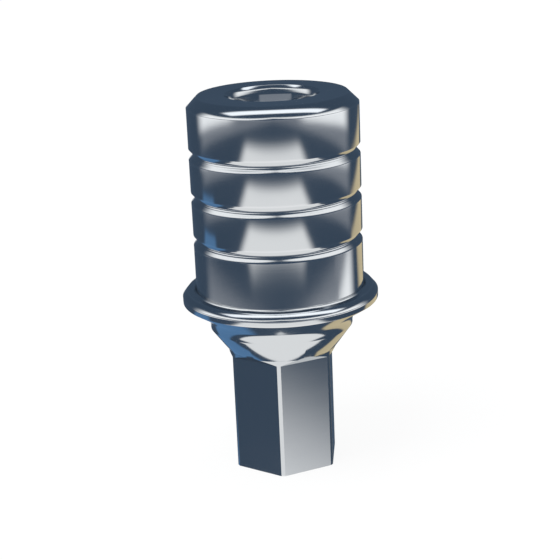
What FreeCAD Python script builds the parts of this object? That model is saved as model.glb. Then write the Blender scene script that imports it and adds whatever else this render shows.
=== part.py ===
import FreeCAD, Part
import math
import os

import Sketcher

# A straight bonding base for a dental crown: grooved chimney, shoulder, seating cone and hexagonal shank.
#
# The piece is turned from bar, so one outline is revolved about Z and the grooves and edges are cut into it.
# The six flats of the hexagon are then milled on the shank, and the screw channel is bored through.
# It stands on the end of the hexagon, with Z up along its axis and the first flat facing +X. Millimetres.

# Driving sizes, in millimetres and degrees
SIZES = {
    # hexagonal shank, from its end up
    "hexAcrossFlats": 2.432,
    "hexCornerDiameter": 2.754,
    "hexLength": 2.946,
    "runoutAngle": 48.0,
    "shankLand": 0.125,
    # seating cone and collar
    "coneHalfAngle": 36.3,
    "collarDiameter": 3.582,
    "collarEdgeRound": 0.03,
    "collarHeight": 0.284,
    # shoulder: coved underside, rim, bevel and flat ledge
    "undersideAngle": 31.7,
    "undersideRound": 0.45,
    "ledgeWidth": 0.221,
    "rimHeight": 0.13,
    "rimRound": 0.02,
    "bevelWidth": 0.128,
    "bevelHeight": 0.15,
    # chimney
    "chimneyDiameter": 4.2,
    "chimneyHeight": 4.872,
    "chimneyFootRound": 0.04,
    "topChamfer": 0.266,
    # retention grooves, the first one counted down from the top
    "grooveCount": 3,
    "firstGrooveDrop": 1.391,
    "groovePitch": 1.0775,
    "grooveDepth": 0.133,
    "grooveWidth": 0.315,
    "grooveLipRound": 0.025,
    # screw channel: chamfered mouth, lead-in taper, channel, conical head seat and shank hole
    "mouthChamferWidth": 0.06,
    "mouthChamferHeight": 0.08,
    "mouthEdgeRound": 0.02,
    "leadInDepth": 0.53,
    "leadInStep": 0.11,
    "leadInRound": 0.25,
    "channelDiameter": 2.0,
    "seatHeight": 3.3,
    "seatHalfAngle": 45.0,
    "shankHoleDiameter": 1.65,
    "holeEndChamfer": 0.1,
}

FLAT_COUNT = 6
PART_NAME = "abutment"
FULL_TURN = 360
# how far a cutting tool reaches past the metal it cuts
TOOL_OVERRUN = 0.5
# two rings closer than this are the same ring
SAME_RING = 1e-4


def make_sheet(doc):
    """Spreadsheet with one named cell per driving size."""
    sheet = doc.addObject("Spreadsheet::Sheet", "Sizes")
    for row, (name, value) in enumerate(SIZES.items(), start=1):
        sheet.set(f"A{row}", name)
        sheet.set(f"B{row}", str(value))
        sheet.setAlias(f"B{row}", name)
    doc.recompute()
    return sheet


def plane_of(body, role):
    """One of the body's own origin planes or axes, by its role."""
    return next(feature for feature in body.Origin.OriginFeatures if feature.Role == role)


def add_sketch(body, name, plane="XZ_Plane"):
    """An empty sketch on one of the body's origin planes."""
    sketch = body.newObject("Sketcher::SketchObject", name)
    sketch.AttachmentSupport = [(plane_of(body, plane), "")]
    sketch.MapMode = "FlatFace"
    return sketch


def draw_outline(sketch, corners):
    """Closed outline of straight lines. Each corner gives its two sizes as (value, expression).

    Every corner is held by its distances from the origin, so the sketch has no freedom left.
    """
    points = [FreeCAD.Vector(across[0], up[0], 0) for across, up in corners]
    count = len(points)
    for index in range(count):
        sketch.addGeometry(Part.LineSegment(points[index], points[(index + 1) % count]), False)
    for index in range(count):
        sketch.addConstraint(Sketcher.Constraint("Coincident", index, 2, (index + 1) % count, 1))
    for index, (across, up) in enumerate(corners):
        hold(sketch, index, "DistanceX", across)
        hold(sketch, index, "DistanceY", up)


def hold(sketch, index, kind, size):
    """Holds a line's start from the origin, bound to the sheet unless it lies on an axis."""
    value, expression = size
    if expression is None:
        axis = -2 if kind == "DistanceX" else -1
        sketch.addConstraint(Sketcher.Constraint("PointOnObject", index, 1, axis))
        return
    number = sketch.addConstraint(Sketcher.Constraint(kind, -1, 1, index, 1, value))
    sketch.setExpression(f"Constraints[{number}]", expression)


class Levels:
    """Radii and heights of the turned form, each with the sheet expression that gives it."""

    def __init__(self):
        s = SIZES
        self.zero = (0.0, None)
        self.shank = (s["hexCornerDiameter"] / 2, "Sizes.hexCornerDiameter / 2")
        self.collar = (s["collarDiameter"] / 2, "Sizes.collarDiameter / 2")
        self.chimney = (s["chimneyDiameter"] / 2, "Sizes.chimneyDiameter / 2")
        self.ledge = self.beyond(self.chimney, s["ledgeWidth"], "Sizes.ledgeWidth")
        self.rim = self.beyond(self.ledge, s["bevelWidth"], "Sizes.bevelWidth")
        self.channel = (s["channelDiameter"] / 2, "Sizes.channelDiameter / 2")
        self.lead_in = self.beyond(self.channel, s["leadInStep"], "Sizes.leadInStep")
        self.mouth = self.beyond(self.lead_in, s["mouthChamferWidth"], "Sizes.mouthChamferWidth")
        self.hole = (s["shankHoleDiameter"] / 2, "Sizes.shankHoleDiameter / 2")

        self.flat_top = (s["hexLength"], "Sizes.hexLength")
        self.cone_foot = self.beyond(self.flat_top, s["shankLand"], "Sizes.shankLand")
        cone_rise = (self.collar[0] - self.shank[0]) / math.tan(math.radians(s["coneHalfAngle"]))
        self.cone_top = self.beyond(
            self.cone_foot, cone_rise,
            "(Sizes.collarDiameter - Sizes.hexCornerDiameter) / 2 / tan(Sizes.coneHalfAngle * 1deg)",
        )
        self.collar_top = self.beyond(self.cone_top, s["collarHeight"], "Sizes.collarHeight")
        self.rim_low = self.beyond(
            self.collar_top, (self.rim[0] - self.collar[0]) * math.tan(math.radians(s["undersideAngle"])),
            f"({self.rim[1]} - {self.collar[1]}) * tan(Sizes.undersideAngle * 1deg)",
        )
        self.rim_high = self.beyond(self.rim_low, s["rimHeight"], "Sizes.rimHeight")
        self.shoulder = self.beyond(self.rim_high, s["bevelHeight"], "Sizes.bevelHeight")
        self.top = self.beyond(self.shoulder, s["chimneyHeight"], "Sizes.chimneyHeight")

    @staticmethod
    def beyond(level, step, expression):
        """A radius or height that lies a step further out or up than another."""
        return (level[0] + step, f"{level[1]} + {expression}")


def on_circle(edge, radius, height):
    """Whether an edge is a circle about Z of this radius at this height."""
    curve = edge.Curve
    return (
        isinstance(curve, Part.Circle)
        and abs(curve.Radius - radius) < SAME_RING
        and math.hypot(curve.Center.x, curve.Center.y) < SAME_RING
        and abs(curve.Center.z - height) < SAME_RING
    )


def edge_names(shape, rings):
    """Names of the circular edges at the given (radius, height) pairs."""
    names = []
    for radius, height in rings:
        found = [
            f"Edge{number}"
            for number, edge in enumerate(shape.Edges, start=1)
            if on_circle(edge, radius, height)
        ]
        if not found:
            raise RuntimeError(f"no edge of radius {radius:.3f} at height {height:.3f}")
        names += found
    return names


def add_round(body, name, base, rings, radius, expression):
    """Fillet on circular edges, with its radius bound to the sheet."""
    body.Document.recompute()
    fillet = body.newObject("PartDesign::Fillet", name)
    fillet.Base = (base, edge_names(base.Shape, rings))
    fillet.Radius = radius
    fillet.setExpression("Radius", expression)
    base.Visibility = False
    return fillet


def turn_outline(body, level):
    """The turned blank: shank, cone, collar, shoulder and chimney in one revolved outline."""
    sketch = add_sketch(body, "TurnedOutline")
    draw_outline(sketch, [
        (level.zero, level.zero),
        (level.shank, level.zero),
        (level.shank, level.cone_foot),
        (level.collar, level.cone_top),
        (level.collar, level.collar_top),
        (level.rim, level.rim_low),
        (level.rim, level.rim_high),
        (level.ledge, level.shoulder),
        (level.chimney, level.shoulder),
        (level.chimney, level.top),
        (level.zero, level.top),
    ])
    blank = body.newObject("PartDesign::Revolution", "TurnedBlank")
    blank.Profile = sketch
    blank.ReferenceAxis = (sketch, ["V_Axis"])
    blank.Angle = FULL_TURN
    return blank


def dress_blank(body, blank, level):
    """Top chamfer and the rounds of the turned blank."""
    doc = body.Document
    doc.recompute()
    chamfer = body.newObject("PartDesign::Chamfer", "TopChamfer")
    chamfer.Base = (blank, edge_names(blank.Shape, [(level.chimney[0], level.top[0])]))
    chamfer.Size = SIZES["topChamfer"]
    chamfer.setExpression("Size", "Sizes.topChamfer")

    foot = add_round(
        body, "ChimneyFootRound", chamfer, [(level.chimney[0], level.shoulder[0])],
        SIZES["chimneyFootRound"], "Sizes.chimneyFootRound",
    )
    rim_rings = [
        (level.rim[0], level.rim_low[0]),
        (level.rim[0], level.rim_high[0]),
        (level.ledge[0], level.shoulder[0]),
    ]
    rim = add_round(body, "RimRound", foot, rim_rings, SIZES["rimRound"], "Sizes.rimRound")
    # the cove may not run past the straight collar below it
    tangent = math.tan(math.radians(90 - SIZES["undersideAngle"]) / 2)
    room = (SIZES["collarHeight"] - SIZES["collarEdgeRound"]) / tangent
    cove = add_round(
        body, "UndersideCove", rim, [(level.collar[0], level.collar_top[0])],
        min(SIZES["undersideRound"], room),
        "min(Sizes.undersideRound; (Sizes.collarHeight - Sizes.collarEdgeRound)"
        " / tan((90 - Sizes.undersideAngle) / 2 * 1deg))",
    )
    return add_round(
        body, "CollarEdgeRound", cove, [(level.collar[0], level.cone_top[0])],
        SIZES["collarEdgeRound"], "Sizes.collarEdgeRound",
    )


def cut_grooves(body, level):
    """V-shaped retention grooves, cut by one revolved triangle and repeated down the chimney."""
    s = SIZES
    sketch = add_sketch(body, "GrooveOutline")
    middle = (level.top[0] - s["firstGrooveDrop"], f"{level.top[1]} - Sizes.firstGrooveDrop")
    floor = (level.chimney[0] - s["grooveDepth"], f"{level.chimney[1]} - Sizes.grooveDepth")
    # the V is drawn on past the chimney's wall at the same slope, so that its width there is the groove's
    reach = (level.chimney[0] + s["grooveDepth"], f"{level.chimney[1]} + Sizes.grooveDepth")
    upper = (middle[0] + s["grooveWidth"], f"{middle[1]} + Sizes.grooveWidth")
    lower = (middle[0] - s["grooveWidth"], f"{middle[1]} - Sizes.grooveWidth")
    draw_outline(sketch, [(floor, middle), (reach, lower), (reach, upper)])
    groove = body.newObject("PartDesign::Groove", "RetentionGroove")
    groove.Profile = sketch
    groove.ReferenceAxis = (sketch, ["V_Axis"])
    groove.Angle = FULL_TURN

    pattern = body.newObject("PartDesign::LinearPattern", "GroovePattern")
    pattern.Originals = [groove]
    pattern.Direction = (plane_of(body, "Z_Axis"), [""])
    pattern.Reversed = True
    pattern.Mode = "Spacing"
    pattern.Offset = s["groovePitch"]
    pattern.Occurrences = s["grooveCount"]
    pattern.setExpression("Offset", "Sizes.groovePitch")
    pattern.setExpression("Occurrences", "Sizes.grooveCount")
    body.Tip = pattern

    rings = []
    for number in range(s["grooveCount"]):
        centre = middle[0] - number * s["groovePitch"]
        rings.append((level.chimney[0], centre - s["grooveWidth"] / 2))
        rings.append((level.chimney[0], centre + s["grooveWidth"] / 2))
    return add_round(body, "GrooveLipRound", pattern, rings, s["grooveLipRound"], "Sizes.grooveLipRound")


def mill_flats(body, level):
    """Six flats on the shank. Each cut ends at its top in a slope that runs out to the cone."""
    s = SIZES
    sketch = add_sketch(body, "FlatOutline")
    flat = (s["hexAcrossFlats"] / 2, "Sizes.hexAcrossFlats / 2")
    outer = (level.shank[0] + TOOL_OVERRUN, f"{level.shank[1]} + {TOOL_OVERRUN}")
    below = (-TOOL_OVERRUN, f"-{TOOL_OVERRUN}")
    slope_top = level.beyond(
        level.flat_top, (outer[0] - flat[0]) / math.tan(math.radians(s["runoutAngle"])),
        f"({outer[1]} - {flat[1]}) / tan(Sizes.runoutAngle * 1deg)",
    )
    draw_outline(sketch, [(flat, below), (outer, below), (outer, slope_top), (flat, level.flat_top)])
    cut = body.newObject("PartDesign::Pocket", "FirstFlat")
    cut.Profile = sketch
    cut.Midplane = True
    cut.Length = s["hexCornerDiameter"]
    cut.setExpression("Length", "Sizes.hexCornerDiameter")

    pattern = body.newObject("PartDesign::PolarPattern", "HexagonFlats")
    pattern.Originals = [cut]
    pattern.Axis = (plane_of(body, "Z_Axis"), [""])
    pattern.Angle = FULL_TURN
    pattern.Occurrences = FLAT_COUNT
    body.Tip = pattern
    return pattern


def bore_channel(body, level):
    """The screw channel: mouth, lead-in, channel, conical seat for the screw's head, and shank hole."""
    s = SIZES
    sketch = add_sketch(body, "ChannelOutline")
    above = (level.top[0] + TOOL_OVERRUN, f"{level.top[1]} + {TOOL_OVERRUN}")
    below = (-TOOL_OVERRUN, f"-{TOOL_OVERRUN}")
    chamfer_foot = (level.top[0] - s["mouthChamferHeight"], f"{level.top[1]} - Sizes.mouthChamferHeight")
    lead_in_foot = (level.top[0] - s["leadInDepth"], f"{level.top[1]} - Sizes.leadInDepth")
    seat_drop = (level.channel[0] - level.hole[0]) / math.tan(math.radians(s["seatHalfAngle"]))
    seat_high = (s["seatHeight"], "Sizes.seatHeight")
    seat_low = (
        s["seatHeight"] - seat_drop,
        "Sizes.seatHeight - (Sizes.channelDiameter - Sizes.shankHoleDiameter) / 2"
        " / tan(Sizes.seatHalfAngle * 1deg)",
    )
    end_radius = (level.hole[0] + s["holeEndChamfer"], f"{level.hole[1]} + Sizes.holeEndChamfer")
    end_height = (s["holeEndChamfer"], "Sizes.holeEndChamfer")
    draw_outline(sketch, [
        (level.zero, below),
        (end_radius, below),
        (end_radius, level.zero),
        (level.hole, end_height),
        (level.hole, seat_low),
        (level.channel, seat_high),
        (level.channel, lead_in_foot),
        (level.lead_in, chamfer_foot),
        (level.mouth, level.top),
        (level.mouth, above),
        (level.zero, above),
    ])
    channel = body.newObject("PartDesign::Groove", "ScrewChannel")
    channel.Profile = sketch
    channel.ReferenceAxis = (sketch, ["V_Axis"])
    channel.Angle = FULL_TURN
    edge = add_round(
        body, "MouthEdgeRound", channel, [(level.mouth[0], level.top[0])],
        s["mouthEdgeRound"], "Sizes.mouthEdgeRound",
    )
    return add_round(
        body, "LeadInRound", edge,
        [(level.lead_in[0], chamfer_foot[0]), (level.channel[0], lead_in_foot[0])],
        s["leadInRound"], "Sizes.leadInRound",
    )


def check_cut(name, before, after):
    """Stops if a cut took nothing away."""
    if after.Shape.Volume >= before.Shape.Volume:
        raise RuntimeError(f"{name} cut nothing")


def check_document(doc, body):
    """Stops if a feature failed or the body is not one valid solid."""
    for item in doc.Objects:
        if "Invalid" in item.State or "Error" in item.State:
            raise RuntimeError(f"{item.Name} failed: {item.State}")
    shape = body.Shape
    if shape.isNull() or not shape.isValid() or len(shape.Solids) != 1:
        raise RuntimeError("the abutment is not one valid solid")


def main():
    doc = FreeCAD.newDocument("Abutment")
    make_sheet(doc)
    body = doc.addObject("PartDesign::Body", "Abutment")
    body.Label = PART_NAME
    level = Levels()

    blank = turn_outline(body, level)
    dressed = dress_blank(body, blank, level)
    grooved = cut_grooves(body, level)
    flats = mill_flats(body, level)
    bored = bore_channel(body, level)
    doc.recompute()

    check_cut("the retention grooves", dressed, grooved)
    check_cut("the hexagon's flats", grooved, flats)
    check_cut("the screw channel", flats, bored)
    check_document(doc, body)

    os.makedirs("parts", exist_ok=True)
    body.Shape.exportStep(f"parts/{body.Label}.step")
    box = body.Shape.optimalBoundingBox()
    print(f"{body.Label}: {body.Shape.Volume:.4f} mm3, {box.XLength:.4f} across, {box.ZLength:.4f} high")


main()
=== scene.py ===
from collections import namedtuple
from math import asin, atan2, cos, degrees, hypot, pi, radians, sin, tan

import bmesh
import bpy
from mathutils import Matrix, Vector


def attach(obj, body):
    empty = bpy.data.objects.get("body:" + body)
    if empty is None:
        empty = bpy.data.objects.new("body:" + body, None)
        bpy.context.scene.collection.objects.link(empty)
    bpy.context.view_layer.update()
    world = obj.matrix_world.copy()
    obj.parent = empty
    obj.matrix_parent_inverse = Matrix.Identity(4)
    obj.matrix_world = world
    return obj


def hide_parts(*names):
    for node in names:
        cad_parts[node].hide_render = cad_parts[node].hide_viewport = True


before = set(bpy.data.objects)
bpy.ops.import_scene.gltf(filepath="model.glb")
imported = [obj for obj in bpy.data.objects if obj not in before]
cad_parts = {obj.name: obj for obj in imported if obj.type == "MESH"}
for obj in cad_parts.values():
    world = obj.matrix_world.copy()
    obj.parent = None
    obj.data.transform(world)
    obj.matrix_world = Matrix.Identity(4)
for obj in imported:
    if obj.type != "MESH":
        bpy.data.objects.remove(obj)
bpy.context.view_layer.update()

# Lengths of the piece are in millimetres. MM turns them into metres.
MM = 0.001

# Hexagonal shank
FLAT_COUNT = 6
FLAT_DISTANCE = 1.216
FLAT_LENGTH = 2.946
RUNOUT_ANGLE = radians(48)
SHANK_RADIUS = 1.377
LAND_TOP = 3.071

# Wedges that mill the flats
CUTTER_LOW = -1
CUTTER_REACH = 2.0
CUTTER_HALF_WIDTH = 0.70

# Seating cone, collar and coved underside
CONE_HALF_ANGLE = radians(36.3)
COLLAR_RADIUS = 1.791
COLLAR_HEIGHT = 0.284
UNDERSIDE_ANGLE = radians(31.7)
UNDERSIDE_ROUND = 0.45

# Shoulder
RIM_RADIUS = 2.449
RIM_HEIGHT = 0.15
RIM_ROUND = 0.02
BEVEL_WIDTH = 0.128
BEVEL_HEIGHT = 0.15

# Chimney
WALL_RADIUS = 2.1
CHIMNEY_HEIGHT = 4.852
FOOT_ROUND = 0.06
TOP_CHAMFER = 0.266
GROOVE_DROPS = (1.391, 2.4685, 3.546)
GROOVE_HALF_WIDTH = 0.150
GROOVE_DEPTH = 0.133

# Screw channel
MOUTH_CHAMFER_WIDTH = 0.06
MOUTH_CHAMFER_HEIGHT = 0.08
MOUTH_EDGE_ROUND = 0.02
LEAD_IN_DEPTH = 0.53
LEAD_IN_STEP = 0.11
LEAD_IN_ROUND = 0.25
# the lead-in starts with a steeper stretch, blended into the rest
LEAD_IN_BLEND_DEPTH = 0.20
LEAD_IN_BLEND_LEAN = radians(20)
LEAD_IN_BLEND_ROUND = 0.5
CHANNEL_RADIUS = 1.0
SEAT_HEIGHT = 3.3
SEAT_HALF_ANGLE = radians(45)
HOLE_RADIUS = 0.825
HOLE_CHAMFER = 0.1

# Mesh
TURN_STEPS = 360
# a ring this close to an edge keeps the face beyond it flat
TOP_HOLD = 0.006
RIM_HOLD = 0.04
LIP_HOLD = 0.015
# two heights or radii closer than this are the same
NEAR = 1e-4
MERGE_DISTANCE = 1e-5 * MM
# how far the middle of a facet lies inside the turned wall, at most
WALL_SAG = 0.002
# an upright face has a normal with less than this share of height
UPRIGHT_NORMAL = 1e-3
# edges sharper than this are crisp up to the first height, and in the channel up to the second
CREASE = radians(12)
CRISP_SHANK_TOP = LAND_TOP + 0.1
CRISP_CHANNEL_TOP = SEAT_HEIGHT + 1
CRISP_CHANNEL_RADIUS = CHANNEL_RADIUS + 0.05

# Polish: how far faces are shaded as leaning up, in degrees
# a groove, from its lower lip at -1 to its upper lip at 1, with a ring of the mesh at each place between
GROOVE_LEANS = (
    (-1, 14.5), (-0.95, 20.5), (-0.87, 22.5), (-0.76, 26.5), (-0.59, 29), (-0.44, 28), (-0.28, 21),
    (-0.14, 27), (-0.02, 18), (0, 16), (0.18, -0.5), (0.28, -5), (0.45, -10), (0.65, -22), (1, -25),
)
# each stretch of the wall at its foot and at its top, from the shoulder up to the chamfer
WALL_LEANS = ((5.3, 1.8), (-3.05, 2.05), (-3.4, 1.7), (-3.1, 2.8))
# what the wall leans more at an azimuth, and the part of it that each stretch gets
SIDE_LEANS = ((-180, 0), (38, 0), (55, 3.8), (60, 3.8), (65, 0), (180, 0))
SIDE_PARTS = (1, 0.1, 0.1, -0.06)
# the fillet at the foot of the wall, from the ledge at 0 to the wall at 1
FOOT_LEANS = ((0, 50), (0.04, 46), (0.1, 31), (0.5, 28), (0.75, 5.3))
# toward both sides these lie lower on the fillet, by the full shift from this azimuth on
FOOT_SHIFT = 0.3
FOOT_SHIFT_AZIMUTH = 45
# the ledge at an azimuth
LEDGE_LEANS = ((-180, 80), (-30, 80), (0, 76), (30, 80), (180, 80))
# the bevel at its foot and at its top
BEVEL_LEANS = (26, 64)
# the underside leans down no more than this
UNDERSIDE_LEAN = -40

# Camera, fitted to the outline of the piece
CAMERA_TURN = radians(5.047)
CAMERA_TILT = radians(17.272)
CAMERA_ROLL = radians(2.441)
CAMERA_DISTANCE = 35.95 * MM
CAMERA_SHIFT_RIGHT = 0.001 * MM
CAMERA_SHIFT_UP = 0.1176 * MM
TARGET_HEIGHT = 4.62 * MM
FOCAL_PIXELS = 1431.6
PICTURE_PIXELS = 560
SENSOR_WIDTH = 36.0
NEAREST_SEEN = 1 * MM
FARTHEST_SEEN = 1


def levels():
    """Heights of the turned form, from the end of the hexagon up."""
    cone_top = LAND_TOP + (COLLAR_RADIUS - SHANK_RADIUS) / tan(CONE_HALF_ANGLE)
    collar_top = cone_top + COLLAR_HEIGHT
    rim_low = collar_top + (RIM_RADIUS - COLLAR_RADIUS) * tan(UNDERSIDE_ANGLE)
    rim_high = rim_low + RIM_HEIGHT
    ledge = rim_high + BEVEL_HEIGHT
    return {
        "cone_top": cone_top,
        "collar_top": collar_top,
        "rim_low": rim_low,
        "rim_high": rim_high,
        "ledge": ledge,
        "top": ledge + CHIMNEY_HEIGHT,
    }


LEVEL = levels()

# A corner of an outline, with the radius of its round and the number of pieces that the round has
Corner = namedtuple("Corner", "radius height round pieces", defaults=(0, 0))


def rounded(corners):
    """Points of a closed outline through its corners, with an arc at each round one."""
    points = []
    for index, corner in enumerate(corners):
        here = Vector(corner[:2])
        if corner.round == 0:
            points.append(here)
            continue
        before = Vector(corners[index - 1][:2])
        after = Vector(corners[(index + 1) % len(corners)][:2])
        into = (before - here).normalized()
        out = (after - here).normalized()
        half = into.angle(out) / 2
        reach = corner.round / tan(half)
        centre = here + (into + out).normalized() * (corner.round / sin(half))
        start = here + into * reach - centre
        end = here + out * reach - centre
        sweep = start.angle_signed(end)
        for piece in range(corner.pieces + 1):
            turned = start.copy()
            turned.rotate(Matrix.Rotation(-sweep * piece / corner.pieces, 2))
            points.append(centre + turned)
    return points


def wall_stretches():
    """Foot and top of each stretch of the chimney's wall, from the shoulder to the top chamfer."""
    grooves = [LEVEL["top"] - drop for drop in reversed(GROOVE_DROPS)]
    feet = [LEVEL["ledge"] + FOOT_ROUND] + [middle + GROOVE_HALF_WIDTH for middle in grooves]
    tops = [middle - GROOVE_HALF_WIDTH for middle in grooves] + [LEVEL["top"] - TOP_CHAMFER]
    return list(zip(feet, tops))


def wall_corners():
    """Corners of the chimney's wall and its grooves, from its foot to the top chamfer."""
    corners = []
    for number, (foot, top) in enumerate(wall_stretches()):
        corners += [Corner(WALL_RADIUS, foot), Corner(WALL_RADIUS, top)]
        if number < len(GROOVE_DROPS):
            middle = top + GROOVE_HALF_WIDTH
            for share, _ in GROOVE_LEANS[1:-1]:
                radius = WALL_RADIUS - GROOVE_DEPTH * (1 - abs(share))
                corners.append(Corner(radius, middle + GROOVE_HALF_WIDTH * share))
    corners.insert(-1, Corner(WALL_RADIUS, corners[-1].height - LIP_HOLD))
    return corners


def outside_corners():
    """Corners of the turned outside, from the end of the hexagon up to the mouth."""
    z = LEVEL
    return [
        Corner(SHANK_RADIUS, 0),
        Corner(SHANK_RADIUS, LAND_TOP),
        Corner(COLLAR_RADIUS, z["cone_top"]),
        Corner(COLLAR_RADIUS, z["collar_top"], UNDERSIDE_ROUND, pieces=16),
        Corner(RIM_RADIUS, z["rim_low"], RIM_ROUND, pieces=4),
        Corner(RIM_RADIUS, z["rim_high"] - RIM_HOLD),
        Corner(RIM_RADIUS, z["rim_high"]),
        Corner(RIM_RADIUS - BEVEL_WIDTH, z["ledge"]),
        Corner(WALL_RADIUS, z["ledge"], FOOT_ROUND, pieces=8),
    ] + wall_corners() + [
        Corner(WALL_RADIUS - TOP_CHAMFER, z["top"]),
        Corner(WALL_RADIUS - TOP_CHAMFER - TOP_HOLD, z["top"]),
    ]


def channel_corners():
    """Corners of the screw channel, from the mouth down to the end of the hexagon."""
    top = LEVEL["top"]
    lead_in = CHANNEL_RADIUS + LEAD_IN_STEP
    blend = lead_in - (LEAD_IN_BLEND_DEPTH - MOUTH_CHAMFER_HEIGHT) * tan(LEAD_IN_BLEND_LEAN)
    seat_drop = (CHANNEL_RADIUS - HOLE_RADIUS) / tan(SEAT_HALF_ANGLE)
    return [
        Corner(lead_in + MOUTH_CHAMFER_WIDTH, top, MOUTH_EDGE_ROUND, pieces=5),
        Corner(lead_in, top - MOUTH_CHAMFER_HEIGHT, LEAD_IN_ROUND, pieces=8),
        Corner(blend, top - LEAD_IN_BLEND_DEPTH, LEAD_IN_BLEND_ROUND, pieces=6),
        Corner(CHANNEL_RADIUS, top - LEAD_IN_DEPTH, LEAD_IN_ROUND, pieces=3),
        Corner(CHANNEL_RADIUS, SEAT_HEIGHT),
        Corner(HOLE_RADIUS, SEAT_HEIGHT - seat_drop),
        Corner(HOLE_RADIUS, HOLE_CHAMFER),
        Corner(HOLE_RADIUS + HOLE_CHAMFER, 0),
    ]


def turned_blank():
    """The turned body with its screw channel, spun from one closed outline."""
    mesh = bmesh.new()
    outline = rounded(outside_corners() + channel_corners())
    ring = [mesh.verts.new((point.x * MM, 0, point.y * MM)) for point in outline]
    edges = [mesh.edges.new((ring[index - 1], ring[index])) for index in range(len(ring))]
    bmesh.ops.spin(
        mesh, geom=ring + edges, cent=(0, 0, 0), axis=(0, 0, 1), dvec=(0, 0, 0), angle=2 * pi,
        steps=TURN_STEPS, use_merge=True,
    )
    bmesh.ops.remove_doubles(mesh, verts=mesh.verts, dist=MERGE_DISTANCE)
    bmesh.ops.recalc_face_normals(mesh, faces=mesh.faces)
    return mesh


def flat_cutters():
    """One wedge for each flat. Its inner side mills the flat, its upper side the sloped run-out."""
    mesh = bmesh.new()
    slope_top = FLAT_LENGTH + (CUTTER_REACH - FLAT_DISTANCE) / tan(RUNOUT_ANGLE)
    outline = (
        (FLAT_DISTANCE, CUTTER_LOW), (CUTTER_REACH, CUTTER_LOW),
        (CUTTER_REACH, slope_top), (FLAT_DISTANCE, FLAT_LENGTH),
    )
    for number in range(FLAT_COUNT):
        corners = [mesh.verts.new((x * MM, -CUTTER_HALF_WIDTH * MM, z * MM)) for x, z in outline]
        face = mesh.faces.new(corners)
        grown = bmesh.ops.extrude_face_region(mesh, geom=[face])["geom"]
        far = [item for item in grown if isinstance(item, bmesh.types.BMVert)]
        bmesh.ops.translate(mesh, verts=far, vec=(0, 2 * CUTTER_HALF_WIDTH * MM, 0))
        turn = Matrix.Rotation(2 * pi * number / FLAT_COUNT, 3, "Z")
        bmesh.ops.rotate(mesh, verts=corners + far, cent=(0, 0, 0), matrix=turn)
    bmesh.ops.recalc_face_normals(mesh, faces=mesh.faces)
    return mesh


def object_from(mesh, name):
    """A Blender object made from a bmesh."""
    data = bpy.data.meshes.new(name)
    mesh.to_mesh(data)
    mesh.free()
    made = bpy.data.objects.new(name, data)
    bpy.context.scene.collection.objects.link(made)
    return made


def mill_flats(blank):
    """Cuts the flats out of the blank and leaves its mesh final."""
    cutters = object_from(flat_cutters(), "flat_cutters")
    cut = blank.modifiers.new("flats", "BOOLEAN")
    cut.operation = "DIFFERENCE"
    cut.solver = "EXACT"
    cut.object = cutters
    bpy.context.view_layer.update()
    shape = blank.evaluated_get(bpy.context.evaluated_depsgraph_get())
    milled = bpy.data.meshes.new_from_object(shape)
    blank.modifiers.remove(cut)
    blank.data = milled
    bpy.data.objects.remove(cutters)


def crisp_heights():
    """Heights of the crisp edges of the ledge and the grooves."""
    ends = [height for stretch in wall_stretches() for height in stretch]
    return [LEVEL["ledge"]] + ends[1:-1]


def is_crisp(edge, heights):
    """Whether an edge is a crisp one of the shank, the lower channel, the ledge or a groove."""
    first, second = (vertex.co / MM for vertex in edge.verts)
    radii = [hypot(place_at.x, place_at.y) for place_at in (first, second)]
    if edge.calc_face_angle(0) > CREASE:
        if max(first.z, second.z) < CRISP_SHANK_TOP:
            return True
        if max(radii) < CRISP_CHANNEL_RADIUS and first.z < CRISP_CHANNEL_TOP:
            return True
    level = abs(first.z - second.z) < NEAR and radii[0] > WALL_RADIUS - NEAR
    return level and any(abs(first.z - height) < NEAR for height in heights)


def finish_edges(piece):
    """Smooth shading with crisp edges."""
    mesh = bmesh.new()
    mesh.from_mesh(piece.data)
    bmesh.ops.dissolve_degenerate(mesh, edges=mesh.edges, dist=MERGE_DISTANCE)
    for face in mesh.faces:
        face.smooth = True
    heights = crisp_heights()
    for edge in mesh.edges:
        edge.smooth = not is_crisp(edge, heights)
    mesh.to_mesh(piece.data)
    mesh.free()


def between(value, steps):
    """Value on a broken line given by its (place, value) steps."""
    for (start, low), (end, high) in zip(steps, steps[1:]):
        if value <= end:
            return low + (high - low) * (value - start) / (end - start)
    return steps[-1][1]


def azimuth(place_at):
    """Direction of a point from the axis in degrees, 0 on the camera's side and growing to its right."""
    right = place_at.x * cos(CAMERA_TURN) + place_at.y * sin(CAMERA_TURN)
    front = place_at.x * sin(CAMERA_TURN) - place_at.y * cos(CAMERA_TURN)
    return degrees(atan2(right, front))


def wall_lean(middle, height, turn):
    """Lean of a corner of a face of the upright wall, or None at the edge of the top chamfer."""
    for (foot, top), (low, high), part in zip(wall_stretches(), WALL_LEANS, SIDE_PARTS):
        held = abs(height - top) < NEAR and top - middle < LIP_HOLD
        if foot < middle < top and not held:
            return low + (high - low) * (height - foot) / (top - foot) + between(turn, SIDE_LEANS) * part
    return None


def groove_lean(middle, height):
    """Lean of a corner of a face of a groove, or None on other faces."""
    for drop in GROOVE_DROPS:
        bottom = LEVEL["top"] - drop
        if abs(middle - bottom) < GROOVE_HALF_WIDTH:
            return between((height - bottom) / GROOVE_HALF_WIDTH, GROOVE_LEANS)
    return None


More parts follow.
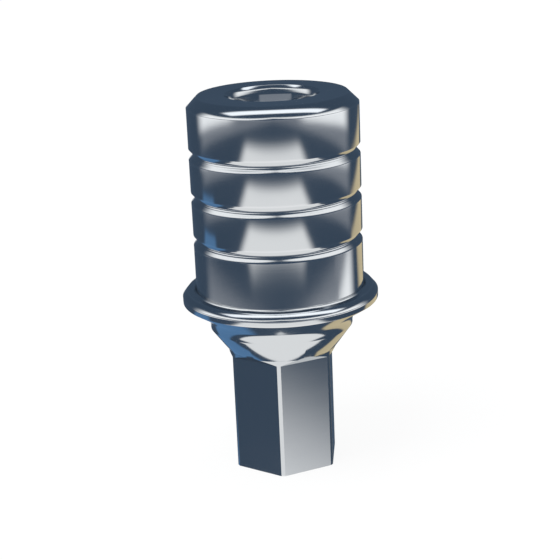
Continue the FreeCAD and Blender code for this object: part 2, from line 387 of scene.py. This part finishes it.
def shaded_lean(face, place_at, own):
    """How far a corner of an outside face is shaded as leaning up, or None where it keeps its normal."""
    height = place_at.z / MM
    middle = face.center.z / MM
    turn = azimuth(place_at)
    ledge = LEVEL["ledge"]
    if middle < LEVEL["rim_low"]:
        return max(degrees(asin(own.z)), UNDERSIDE_LEAN)
    if middle < LEVEL["rim_high"]:
        return None
    if middle < ledge - NEAR:
        foot, top = BEVEL_LEANS
        return foot + (top - foot) * (height - LEVEL["rim_high"]) / BEVEL_HEIGHT
    if middle < ledge + NEAR:
        return between(turn, LEDGE_LEANS)
    if middle < ledge + FOOT_ROUND:
        shift = FOOT_SHIFT * min(1, (turn / FOOT_SHIFT_AZIMUTH) ** 2)
        return between((height - ledge) / FOOT_ROUND + shift, FOOT_LEANS)
    if abs(face.normal.z) < UPRIGHT_NORMAL:
        return wall_lean(middle, height, turn)
    return groove_lean(middle, height)


def polish_outside(piece):
    """Shades the outside above the seating cone as if its faces were polished slightly round by hand."""
    mesh = piece.data
    normals = [Vector(corner.vector) for corner in mesh.corner_normals]
    inner = (COLLAR_RADIUS - WALL_SAG) * MM
    for face in mesh.polygons:
        above_cone = LEVEL["cone_top"] * MM < face.center.z < LEVEL["top"] * MM
        if hypot(face.center.x, face.center.y) < inner or not above_cone:
            continue
        for corner in face.loop_indices:
            place_at = mesh.vertices[mesh.loops[corner].vertex_index].co
            lean = shaded_lean(face, place_at, normals[corner])
            if lean is not None:
                outward = Vector((place_at.x, place_at.y, 0)).normalized()
                normals[corner] = outward * cos(radians(lean)) + Vector((0, 0, sin(radians(lean))))
    mesh.normals_split_custom_set(normals)


def make_abutment():
    """The whole piece, turned, milled and polished."""
    piece = object_from(turned_blank(), "abutment_body")
    mill_flats(piece)
    finish_edges(piece)
    polish_outside(piece)
    return piece


# Places of a Mix node's sockets, whose names are the same for numbers and colours
MIX_SHARE = 0
MIX_NUMBERS = (2, 3)
MIX_NUMBER = 0
MIX_COLOURS = (6, 7)
MIX_COLOUR = 2


def put(tree, socket, value):
    """Gives a socket a constant, or links another node's output to it."""
    if isinstance(value, bpy.types.NodeSocket):
        tree.links.new(value, socket)
    else:
        socket.default_value = value


def calculate(tree, operation, *values):
    """A Math node on constants or outputs."""
    made = tree.nodes.new("ShaderNodeMath")
    made.operation = operation
    for socket, value in zip(made.inputs, values):
        put(tree, socket, value)
    return made.outputs[0]


def sum_of_products(tree, first, second):
    """The product of a first pair of values plus that of a second pair."""
    products = [calculate(tree, "MULTIPLY", *pair) for pair in (first, second)]
    return calculate(tree, "ADD", *products)


def soft_step(tree, value, start, end):
    """0 on the start side and 1 on the end side, with a soft change between them."""
    made = tree.nodes.new("ShaderNodeMapRange")
    made.interpolation_type = "SMOOTHSTEP"
    put(tree, made.inputs["Value"], value)
    put(tree, made.inputs["From Min"], start)
    put(tree, made.inputs["From Max"], end)
    return made.outputs["Result"]


def soft_edge(tree, value, place_at, softness):
    """0 below a place and 1 above it, as soft as given to either side."""
    start = calculate(tree, "SUBTRACT", place_at, softness)
    end = calculate(tree, "ADD", place_at, softness)
    return soft_step(tree, value, start, end)


def mixed_colour(tree, share, first, second):
    """A colour between two others."""
    made = tree.nodes.new("ShaderNodeMix")
    made.data_type = "RGBA"
    put(tree, made.inputs[MIX_SHARE], share)
    for index, colour in zip(MIX_COLOURS, (first, second)):
        put(tree, made.inputs[index], colour)
    return made.outputs[MIX_COLOUR]


def mixed_number(tree, share, first, second):
    """A number between two others."""
    made = tree.nodes.new("ShaderNodeMix")
    put(tree, made.inputs[MIX_SHARE], share)
    for index, number in zip(MIX_NUMBERS, (first, second)):
        put(tree, made.inputs[index], number)
    return made.outputs[MIX_NUMBER]


def mixed_shader(tree, share, first, second):
    """A shader between two others."""
    made = tree.nodes.new("ShaderNodeMixShader")
    for socket, value in zip(made.inputs, (share, first, second)):
        put(tree, socket, value)
    return made.outputs[0]


def new_group(name, inputs, outputs):
    """A shader node group with named number or vector inputs and number outputs."""
    tree = bpy.data.node_groups.new(name, "ShaderNodeTree")
    for label in inputs:
        kind = "NodeSocketVector" if label == "Position" else "NodeSocketFloat"
        tree.interface.new_socket(name=label, in_out="INPUT", socket_type=kind)
    for label in outputs:
        tree.interface.new_socket(name=label, in_out="OUTPUT", socket_type="NodeSocketFloat")
    return tree, tree.nodes.new("NodeGroupInput").outputs, tree.nodes.new("NodeGroupOutput").inputs


def place(tree, group, values):
    """Places a node group in a material with its own values."""
    made = tree.nodes.new("ShaderNodeGroup")
    made.node_tree = group
    for label, value in values.items():
        put(tree, made.inputs[label], value)
    return made.outputs


def object_position(tree):
    """Where a point lies in the coordinates of its own object."""
    return tree.nodes.new("ShaderNodeTexCoord").outputs["Object"]


def split(tree, vector):
    """The three parts of a vector."""
    made = tree.nodes.new("ShaderNodeSeparateXYZ")
    tree.links.new(vector, made.inputs[0])
    return made.outputs


def joined(tree, x, y, z):
    """A vector made from its three parts."""
    made = tree.nodes.new("ShaderNodeCombineXYZ")
    for socket, value in zip(made.inputs, (x, y, z)):
        put(tree, socket, value)
    return made.outputs[0]


def distance_from_axis(tree, position):
    """How far a point lies from the axis of the piece."""
    x, y, z = split(tree, position)
    flat = tree.nodes.new("ShaderNodeVectorMath")
    flat.operation = "LENGTH"
    tree.links.new(joined(tree, x, y, 0), flat.inputs[0])
    return flat.outputs["Value"]


def noise(tree, vector, scale, detail, dimensions="3D"):
    """Soft noise between 0 and 1."""
    made = tree.nodes.new("ShaderNodeTexNoise")
    made.noise_dimensions = dimensions
    tree.links.new(vector, made.inputs["Vector"])
    made.inputs["Scale"].default_value = scale
    made.inputs["Detail"].default_value = detail
    return made.outputs[0]


# Titanium: one finish for the whole piece
METAL_COLOUR = (0.60, 0.62, 0.635, 1)
# colour of the worn edges: smoother metal, made lighter as a painted highlight along them
EDGE_WEAR_HIGHLIGHT_COLOUR = (0.66, 0.675, 0.69, 1)
HAZE_COLOUR = (0.585, 0.605, 0.625, 1)
HAZE_SCALE = 420
HAZE_DETAIL = 3
HAZE_START = 0.45
HAZE_END = 0.7
SMOOTHEST = 0.09
ROUGHEST = 0.125
# the shares of the roughness that come from the haze and from the bands of rings
HAZE_SHARE = 0.5
BAND_SHARE = 0.5
RINGS_PER_METRE = 26000
MARK_DETAIL = 2
MARK_HEIGHT = 0.00004 * MM
# how fine the bands of rings are next to the rings
BAND_SCALE = 0.12
BAND_DETAIL = 1
# how wide a milling line is next to its length
MILLING_LINE_WIDTH = 0.04
# the flats' mask fades out between these distances from a flat, and over this height above it
FLAT_MASK_FULL = 0.002 * MM
FLAT_MASK_NONE = 0.006 * MM
FLAT_MASK_FADE = 0.02 * MM
EDGE_WIDTH = 0.05 * MM
# a worn edge and its painted highlight are nowhere narrower than this share of their width
EDGE_LEAST_SHARE = 0.5
EDGE_NOISE_SCALE = 900
EDGE_NOISE_DETAIL = 2


def turning_marks():
    """Fine rings left by the turning tool round the axis of the piece, and the bands that they form."""
    tree, given, result = new_group("turning_marks", ["Position", "Rings Per Metre"], ["Marks", "Bands"])
    z = split(tree, given["Position"])[2]
    ring = joined(tree, distance_from_axis(tree, given["Position"]), z, 0)
    scaled = tree.nodes.new("ShaderNodeVectorMath")
    scaled.operation = "SCALE"
    tree.links.new(ring, scaled.inputs[0])
    tree.links.new(given["Rings Per Metre"], scaled.inputs["Scale"])
    tree.links.new(noise(tree, scaled.outputs[0], 1, MARK_DETAIL, "2D"), result["Marks"])
    tree.links.new(noise(tree, scaled.outputs[0], BAND_SCALE, BAND_DETAIL, "2D"), result["Bands"])
    return tree


def milling_marks():
    """Fine lines across the six flats, and a mask that is 1 on the flats."""
    inputs = ["Position", "Lines Per Metre", "Flat Distance"]
    tree, given, result = new_group("milling_marks", inputs, ["Marks", "Mask"])
    x, y, z = split(tree, given["Position"])
    sector = radians(360 / FLAT_COUNT)
    angle = calculate(tree, "ARCTAN2", y, x)
    turned = calculate(tree, "WRAP", angle, sector / 2, -sector / 2)
    radius = distance_from_axis(tree, given["Position"])
    depth = calculate(tree, "MULTIPLY", radius, calculate(tree, "COSINE", turned))
    across = calculate(tree, "MULTIPLY", radius, calculate(tree, "SINE", turned))
    away = calculate(tree, "ABSOLUTE", calculate(tree, "SUBTRACT", depth, given["Flat Distance"]))
    close = soft_step(tree, away, FLAT_MASK_NONE, FLAT_MASK_FULL)
    below = soft_step(tree, z, FLAT_LENGTH * MM + FLAT_MASK_FADE, FLAT_LENGTH * MM)
    tree.links.new(calculate(tree, "MULTIPLY", close, below), result["Mask"])
    upward_lines = calculate(tree, "MULTIPLY", z, given["Lines Per Metre"])
    across_lines = calculate(tree, "MULTIPLY", given["Lines Per Metre"], MILLING_LINE_WIDTH)
    lines = joined(tree, upward_lines, calculate(tree, "MULTIPLY", across, across_lines), angle)
    tree.links.new(noise(tree, lines, 1, MARK_DETAIL), result["Marks"])
    return tree


def worn_highlit_edge():
    """A thin line of polish and painted highlight along one turned edge, given by its radius and height."""
    inputs = ["Position", "Edge Radius", "Edge Height", "Width"]
    tree, given, result = new_group("worn_highlit_edge", inputs, ["Mask"])
    z = split(tree, given["Position"])[2]
    radius = distance_from_axis(tree, given["Position"])
    out = calculate(tree, "SUBTRACT", radius, given["Edge Radius"])
    up = calculate(tree, "SUBTRACT", z, given["Edge Height"])
    away = calculate(tree, "SQRT", sum_of_products(tree, (out, out), (up, up)))
    uneven = noise(tree, given["Position"], EDGE_NOISE_SCALE, EDGE_NOISE_DETAIL)
    share = calculate(tree, "ADD", uneven, EDGE_LEAST_SHARE)
    reach = calculate(tree, "MULTIPLY", given["Width"], share)
    tree.links.new(soft_step(tree, away, reach, 0), result["Mask"])
    return tree


def worn_highlit_places():
    """Radius and height of each turned edge that is worn smoother and lightened in colour as a painted
    highlight.
    """
    z = LEVEL
    grooves = []
    for drop in GROOVE_DROPS:
        for side in (-1, 1):
            grooves.append((WALL_RADIUS, z["top"] - drop + side * GROOVE_HALF_WIDTH))
    return [
        (SHANK_RADIUS, 0),
        (RIM_RADIUS, z["rim_low"]),
        (RIM_RADIUS, z["rim_high"]),
        (RIM_RADIUS - BEVEL_WIDTH, z["ledge"]),
        (WALL_RADIUS, z["top"] - TOP_CHAMFER),
        (WALL_RADIUS - TOP_CHAMFER, z["top"]),
    ] + grooves


def titanium():
    """Bright turned titanium: fine tool rings, milled flats, a little haze, and polished edges lightened in
    colour as a painted highlight.
    """
    material = bpy.data.materials.new("turned_titanium")
    material.use_nodes = True
    tree = material.node_tree
    shader = tree.nodes["Principled BSDF"]
    shader.inputs["Metallic"].default_value = 1
    position = object_position(tree)
    rings = place(tree, turning_marks(), {"Position": position, "Rings Per Metre": RINGS_PER_METRE})
    flats = place(tree, milling_marks(), {
        "Position": position, "Lines Per Metre": RINGS_PER_METRE, "Flat Distance": FLAT_DISTANCE * MM,
    })
    # mask of the worn edges, which are smoother and carry a painted highlight
    edges = 0
    edge_wear_highlight_group = worn_highlit_edge()
    for radius, height in worn_highlit_places():
        mask = place(tree, edge_wear_highlight_group, {
            "Position": position, "Edge Radius": radius * MM, "Edge Height": height * MM,
            "Width": EDGE_WIDTH,
        })["Mask"]
        edges = calculate(tree, "MAXIMUM", edges, mask)
    haze = noise(tree, position, HAZE_SCALE, HAZE_DETAIL)
    clouded = soft_step(tree, haze, HAZE_START, HAZE_END)
    plain = mixed_colour(tree, clouded, METAL_COLOUR, HAZE_COLOUR)
    # painted highlight: the colour lightens along the worn edges
    tree.links.new(mixed_colour(tree, edges, plain, EDGE_WEAR_HIGHLIGHT_COLOUR), shader.inputs["Base Color"])
    uneven = sum_of_products(tree, (clouded, HAZE_SHARE), (rings["Bands"], BAND_SHARE))
    dull = calculate(tree, "MULTIPLY", uneven, calculate(tree, "SUBTRACT", 1, edges))
    rough = tree.nodes.new("ShaderNodeMapRange")
    tree.links.new(dull, rough.inputs["Value"])
    rough.inputs["To Min"].default_value = SMOOTHEST
    rough.inputs["To Max"].default_value = ROUGHEST
    tree.links.new(rough.outputs["Result"], shader.inputs["Roughness"])
    bump = tree.nodes.new("ShaderNodeBump")
    bump.inputs["Distance"].default_value = MARK_HEIGHT
    marks = mixed_number(tree, flats["Mask"], rings["Marks"], flats["Marks"])
    tree.links.new(marks, bump.inputs["Height"])
    tree.links.new(bump.outputs["Normal"], shader.inputs["Normal"])
    return material


def make_camera():
    """The camera at the angle of the photo."""
    turn, tilt, roll = CAMERA_TURN, CAMERA_TILT, CAMERA_ROLL
    back = Vector((cos(tilt) * sin(turn), -cos(tilt) * cos(turn), sin(tilt)))
    right = Vector((cos(turn), sin(turn), 0))
    up = Vector((-sin(tilt) * sin(turn), sin(tilt) * cos(turn), cos(tilt)))
    across = right * cos(roll) - up * sin(roll)
    upward = right * sin(roll) + up * cos(roll)
    data = bpy.data.cameras.new("camera")
    data.sensor_width = SENSOR_WIDTH
    data.lens = FOCAL_PIXELS * SENSOR_WIDTH / PICTURE_PIXELS
    data.clip_start = NEAREST_SEEN
    data.clip_end = FARTHEST_SEEN
    camera = bpy.data.objects.new("camera", data)
    target = Vector((0, 0, TARGET_HEIGHT))
    place_at = target + back * CAMERA_DISTANCE + right * CAMERA_SHIFT_RIGHT + up * CAMERA_SHIFT_UP
    turned = Matrix((across, upward, back)).transposed()
    camera.matrix_world = Matrix.Translation(place_at) @ turned.to_4x4()
    bpy.context.scene.collection.objects.link(camera)
    bpy.context.scene.camera = camera


# Studio: a white floor and background for the eye, and a large soft dome for the metal to mirror
FLOOR_HALF_SIDE = 0.30
FLOOR_COLOUR = (0.92, 0.92, 0.92, 1)
FLOOR_WHITE_SHARE = 0.9
WHITE = (1, 1, 1, 1)
SKY_COLOUR = (0.96, 0.98, 1, 1)
SKY_STRENGTH = 0.9
LAMP_PLACE = (-0.3, -0.3, 0.8)
LAMP_SIZE = 0.5
LAMP_WATTS = 4.0
DOME_RADIUS = 1.0
DOME_HEIGHT = 5.0 * MM
DOME_SEGMENTS = 96
DOME_RINGS = 48

# What the metal mirrors
DARK = (0.058, 0.090, 0.138, 1)
TABLE_COLOUR = (1.10, 1.10, 1.10, 1)
LIGHT = (1.30, 1.31, 1.32, 1)
OVERHEAD_LIGHT = (1.5, 1.55, 1.62, 1)
BACK_LIGHT = (0.9, 0.93, 0.98, 1)
FAINT_GLOW = (0.26, 0.285, 0.33, 1)
GREY_CARD = (0.28, 0.31, 0.36, 1)
WARM_TAN = (0.71, 0.60, 0.385, 1)
DEEP_BLUE = (0.12, 0.26, 0.48, 1)

# The pale table before the piece. Its sides and near edge are given at a depth of 1 below the piece.
# Its sides spread with the distance forward, and its near edge slants away to both sides.
TABLE_LEFT = 1.44
TABLE_LEFT_SPREAD = 0.38
TABLE_RIGHT = 1.38
TABLE_RIGHT_SPREAD = 0.28
TABLE_SIDE_SOFTNESS = 0.10
TABLE_NEAR = -0.08
TABLE_NEAR_SLANT = 0.27
TABLE_NEAR_SOFTNESS = 0.035
# Far off, the table fades into the dark between these sums of two slopes down to a place on it: one along
# the line of sight, the other straight ahead, where the way counts as no shorter than the last value.
TABLE_FADE_START = 0.3852
TABLE_FADE_END = 0.6076
TABLE_LEAST_FORWARD = 0.02

# Soft panels of the dome. Azimuth 0 is the camera's side and grows to the camera's right.
# A panel has its middle and half width in azimuth and the softness of its sides. Its lower and upper
# edges have an elevation at azimuth 0, a fall for each degree away from the front and a softness.
Edge = namedtuple("Edge", "elevation fall softness")
Panel = namedtuple("Panel", "name middle half_width side_softness low high colour")
PANELS = (
    Panel("left_glow", -51, 60, 9, Edge(-4.9, 0.080, 1.6), Edge(8, 0, 3), FAINT_GLOW),
    Panel("right_glow", 54, 60, 9, Edge(-4.6, 0.103, 1.6), Edge(8, 0, 3), FAINT_GLOW),
    Panel("front_card", -9, 44, 2, Edge(5, 0, 3), Edge(17, 0, 1.5), GREY_CARD),
    Panel("left_panel", -82.5, 29.5, 11, Edge(-1.4, 0.078, 1.3), Edge(1, 0, 3), LIGHT),
    Panel("right_panel", 73.5, 37.5, 10, Edge(-3.3, 0.066, 1.3), Edge(1, 0, 3), LIGHT),
    Panel("upper_box", 0, 111, 14, Edge(43.5, 0.281, 2.5), Edge(50, 0.19, 3.5), LIGHT),
    Panel("right_tan", 137.5, 19.5, 4, Edge(-57, 0, 2), Edge(-41, -0.205, 1.8), WARM_TAN),
    Panel("back_panel", 184, 6, 4, Edge(-40, 0, 5), Edge(-6, 0, 3), BACK_LIGHT),
)

# Flat patches, above or below the piece. Their sides are given at a height or depth of 1 from it.
Patch = namedtuple("Patch", "name above left right near far softness colour")
PATCHES = (
    Patch("left_blue", False, -3.3, -0.3, -1.5, -0.2, 0.06, DEEP_BLUE),
    Patch("overhead_box", True, -0.88, 1.05, -0.18, 0.25, 0.08, OVERHEAD_LIGHT),
)
# patches fade in between these heights or depths, so that none shows at the horizon
PATCH_FADE_START = 0.01
PATCH_FADE_END = 0.05


def soft_panel():
    """A mask that is 1 on one soft-edged panel of the dome."""
    tree, given, result = new_group("soft_panel", [
        "Azimuth", "Elevation", "Middle", "Half Width", "Side Softness", "Low", "Low Fall", "Low Softness",
        "High", "High Fall", "High Softness",
    ], ["Mask"])
    offset = calculate(tree, "SUBTRACT", given["Azimuth"], given["Middle"])
    away = calculate(tree, "ABSOLUTE", calculate(tree, "WRAP", offset, 180, -180))
    beside = soft_edge(tree, away, given["Half Width"], given["Side Softness"])
    turn = calculate(tree, "ABSOLUTE", given["Azimuth"])
    low = calculate(tree, "SUBTRACT", given["Low"], calculate(tree, "MULTIPLY", given["Low Fall"], turn))
    high = calculate(tree, "SUBTRACT", given["High"], calculate(tree, "MULTIPLY", given["High Fall"], turn))
    above_low = soft_edge(tree, given["Elevation"], low, given["Low Softness"])
    above_high = soft_edge(tree, given["Elevation"], high, given["High Softness"])
    mask = above_low
    for outside in (beside, above_high):
        mask = calculate(tree, "MULTIPLY", mask, calculate(tree, "SUBTRACT", 1, outside))
    tree.links.new(mask, result["Mask"])
    return tree


def flat_patch():
    """A mask that is 1 on one soft-edged patch of a level plane below or above the piece."""
    tree, given, result = new_group("flat_patch", [
        "Sideways", "Forward", "Height", "Left", "Right", "Near", "Far", "Softness",
    ], ["Mask"])
    height = given["Height"]
    mask = soft_step(tree, height, PATCH_FADE_START, PATCH_FADE_END)
    softness = given["Softness"]
    for along, first, second in (("Sideways", "Left", "Right"), ("Forward", "Near", "Far")):
        low = calculate(tree, "MULTIPLY", given[first], height)
        high = calculate(tree, "MULTIPLY", given[second], height)
        past_low = calculate(tree, "SUBTRACT", given[along], low)
        before_high = calculate(tree, "SUBTRACT", high, given[along])
        for inside in (past_low, before_high):
            mask = calculate(tree, "MULTIPLY", mask, soft_edge(tree, inside, 0, softness))
    tree.links.new(mask, result["Mask"])
    return tree


def table_mask(tree, sideways, forward, drop):
    """1 where a direction from the piece meets the pale table."""
    inside = 1
    for side, width, spread in ((-1, TABLE_LEFT, TABLE_LEFT_SPREAD), (1, TABLE_RIGHT, TABLE_RIGHT_SPREAD)):
        reach = sum_of_products(tree, (drop, width), (forward, spread))
        away = calculate(tree, "SUBTRACT", reach, calculate(tree, "MULTIPLY", sideways, side))
        edge = soft_step(tree, away, -TABLE_SIDE_SOFTNESS, TABLE_SIDE_SOFTNESS)
        inside = calculate(tree, "MULTIPLY", inside, edge)
    aside = calculate(tree, "ABSOLUTE", sideways)
    near = sum_of_products(tree, (drop, TABLE_NEAR), (aside, TABLE_NEAR_SLANT))
    past_near = soft_step(
        tree, calculate(tree, "SUBTRACT", forward, near), -TABLE_NEAR_SOFTNESS, TABLE_NEAR_SOFTNESS,
    )
    level = calculate(tree, "SQRT", sum_of_products(tree, (sideways, sideways), (forward, forward)))
    ahead = calculate(tree, "MAXIMUM", forward, TABLE_LEAST_FORWARD)
    slope = calculate(
        tree, "ADD", calculate(tree, "DIVIDE", drop, level), calculate(tree, "DIVIDE", drop, ahead),
    )
    before_far = soft_step(tree, slope, TABLE_FADE_START, TABLE_FADE_END)
    return calculate(tree, "MULTIPLY", before_far, calculate(tree, "MULTIPLY", inside, past_near))


def dome_colour(tree):
    """The colour of the dome by direction: dark, with the pale table, the patches and the panels on it."""
    turned = tree.nodes.new("ShaderNodeMapping")
    turned.inputs["Rotation"].default_value = (0, 0, -CAMERA_TURN)
    tree.links.new(object_position(tree), turned.inputs["Vector"])
    direction = tree.nodes.new("ShaderNodeVectorMath")
    direction.operation = "NORMALIZE"
    tree.links.new(turned.outputs[0], direction.inputs[0])
    sideways, back, up = split(tree, direction.outputs[0])
    forward = calculate(tree, "MULTIPLY", back, -1)
    drop = calculate(tree, "MULTIPLY", up, -1)
    direction_azimuth = calculate(tree, "DEGREES", calculate(tree, "ARCTAN2", sideways, forward))
    elevation = calculate(tree, "DEGREES", calculate(tree, "ARCSINE", up))
    colour = mixed_colour(tree, table_mask(tree, sideways, forward, drop), DARK, TABLE_COLOUR)
    patch_group = flat_patch()
    for patch in PATCHES:
        mask = place(tree, patch_group, {
            "Sideways": sideways, "Forward": forward, "Height": up if patch.above else drop,
            "Left": patch.left, "Right": patch.right, "Near": patch.near, "Far": patch.far,
            "Softness": patch.softness,
        })["Mask"]
        mask.node.label = patch.name
        colour = mixed_colour(tree, mask, colour, patch.colour)
    panel_group = soft_panel()
    for panel in PANELS:
        mask = place(tree, panel_group, {
            "Azimuth": direction_azimuth, "Elevation": elevation, "Middle": panel.middle,
            "Half Width": panel.half_width, "Side Softness": panel.side_softness,
            "Low": panel.low.elevation, "Low Fall": panel.low.fall, "Low Softness": panel.low.softness,
            "High": panel.high.elevation, "High Fall": panel.high.fall, "High Softness": panel.high.softness,
        })["Mask"]
        mask.node.label = panel.name
        colour = mixed_colour(tree, mask, colour, panel.colour)
    return colour


def emission(tree, colour):
    """A plain glow of one colour."""
    made = tree.nodes.new("ShaderNodeEmission")
    put(tree, made.inputs["Color"], colour)
    made.inputs["Strength"].default_value = 1
    return made.outputs["Emission"]


def dome_material():
    """The glow of the dome."""
    material = bpy.data.materials.new("studio_dome")
    material.use_nodes = True
    material.cycles.emission_sampling = "NONE"
    tree = material.node_tree
    tree.nodes.clear()
    out = tree.nodes.new("ShaderNodeOutputMaterial")
    tree.links.new(emission(tree, dome_colour(tree)), out.inputs["Surface"])
    return material


def make_dome():
    """A dome round the piece that only the metal sees."""
    mesh = bmesh.new()
    bmesh.ops.create_uvsphere(mesh, u_segments=DOME_SEGMENTS, v_segments=DOME_RINGS, radius=DOME_RADIUS)
    bmesh.ops.translate(mesh, verts=mesh.verts, vec=(0, 0, DOME_HEIGHT))
    dome = object_from(mesh, "studio_dome")
    dome.data.materials.append(dome_material())
    dome.visible_camera = False
    dome.visible_diffuse = False
    dome.visible_shadow = False
    dome.visible_transmission = False
    dome.visible_volume_scatter = False


def seen_directly(tree):
    """1 for a ray from the camera, a mirror or glass, and 0 for one that gathers soft light."""
    path = tree.nodes.new("ShaderNodeLightPath").outputs
    seen = calculate(tree, "MAXIMUM", path["Is Camera Ray"], path["Is Glossy Ray"])
    return calculate(tree, "MAXIMUM", seen, path["Is Transmission Ray"])


def background(tree, colour, strength):
    """A plain background of the world."""
    made = tree.nodes.new("ShaderNodeBackground")
    made.inputs["Color"].default_value = colour
    made.inputs["Strength"].default_value = strength
    return made.outputs[0]


def make_world():
    """Soft even light, and white where the eye or a mirror looks past the floor."""
    world = bpy.data.worlds.new("studio")
    bpy.context.scene.world = world
    world.use_nodes = True
    tree = world.node_tree
    tree.nodes.clear()
    soft = background(tree, SKY_COLOUR, SKY_STRENGTH)
    white = background(tree, WHITE, 1)
    out = tree.nodes.new("ShaderNodeOutputWorld")
    tree.links.new(mixed_shader(tree, seen_directly(tree), soft, white), out.inputs["Surface"])


def floor_material():
    """A pale floor that keeps the piece's shadow and fades into the white background."""
    material = bpy.data.materials.new("pale_floor")
    material.use_nodes = True
    tree = material.node_tree
    tree.nodes.clear()
    paper = tree.nodes.new("ShaderNodeBsdfDiffuse")
    paper.inputs["Color"].default_value = FLOOR_COLOUR
    share = calculate(tree, "MULTIPLY", seen_directly(tree), FLOOR_WHITE_SHARE)
    surface = mixed_shader(tree, share, paper.outputs[0], emission(tree, WHITE))
    out = tree.nodes.new("ShaderNodeOutputMaterial")
    tree.links.new(surface, out.inputs["Surface"])
    return material


def make_floor():
    """The floor under the piece."""
    mesh = bmesh.new()
    bmesh.ops.create_grid(mesh, x_segments=1, y_segments=1, size=FLOOR_HALF_SIDE)
    floor = object_from(mesh, "floor")
    floor.data.materials.append(floor_material())
    floor.visible_glossy = False


def make_lamp():
    """A large soft lamp that lights the floor. The metal mirrors the dome in its place."""
    data = bpy.data.lights.new("key_lamp", "AREA")
    data.shape = "DISK"
    data.size = LAMP_SIZE
    data.energy = LAMP_WATTS
    lamp = bpy.data.objects.new("key_lamp", data)
    lamp.location = LAMP_PLACE
    lamp.rotation_mode = "QUATERNION"
    lamp.rotation_quaternion = (-Vector(LAMP_PLACE)).to_track_quat("-Z", "Y")
    lamp.visible_glossy = False
    lamp.visible_camera = False
    bpy.context.scene.collection.objects.link(lamp)


def main():
    """The piece in its studio."""
    piece = make_abutment()
    piece.data.materials.clear()
    piece.data.materials.append(titanium())
    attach(piece, "root")
    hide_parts("abutment")
    make_camera()
    make_world()
    make_floor()
    make_dome()
    make_lamp()
    bpy.context.scene.view_settings.view_transform = "Standard"


main()
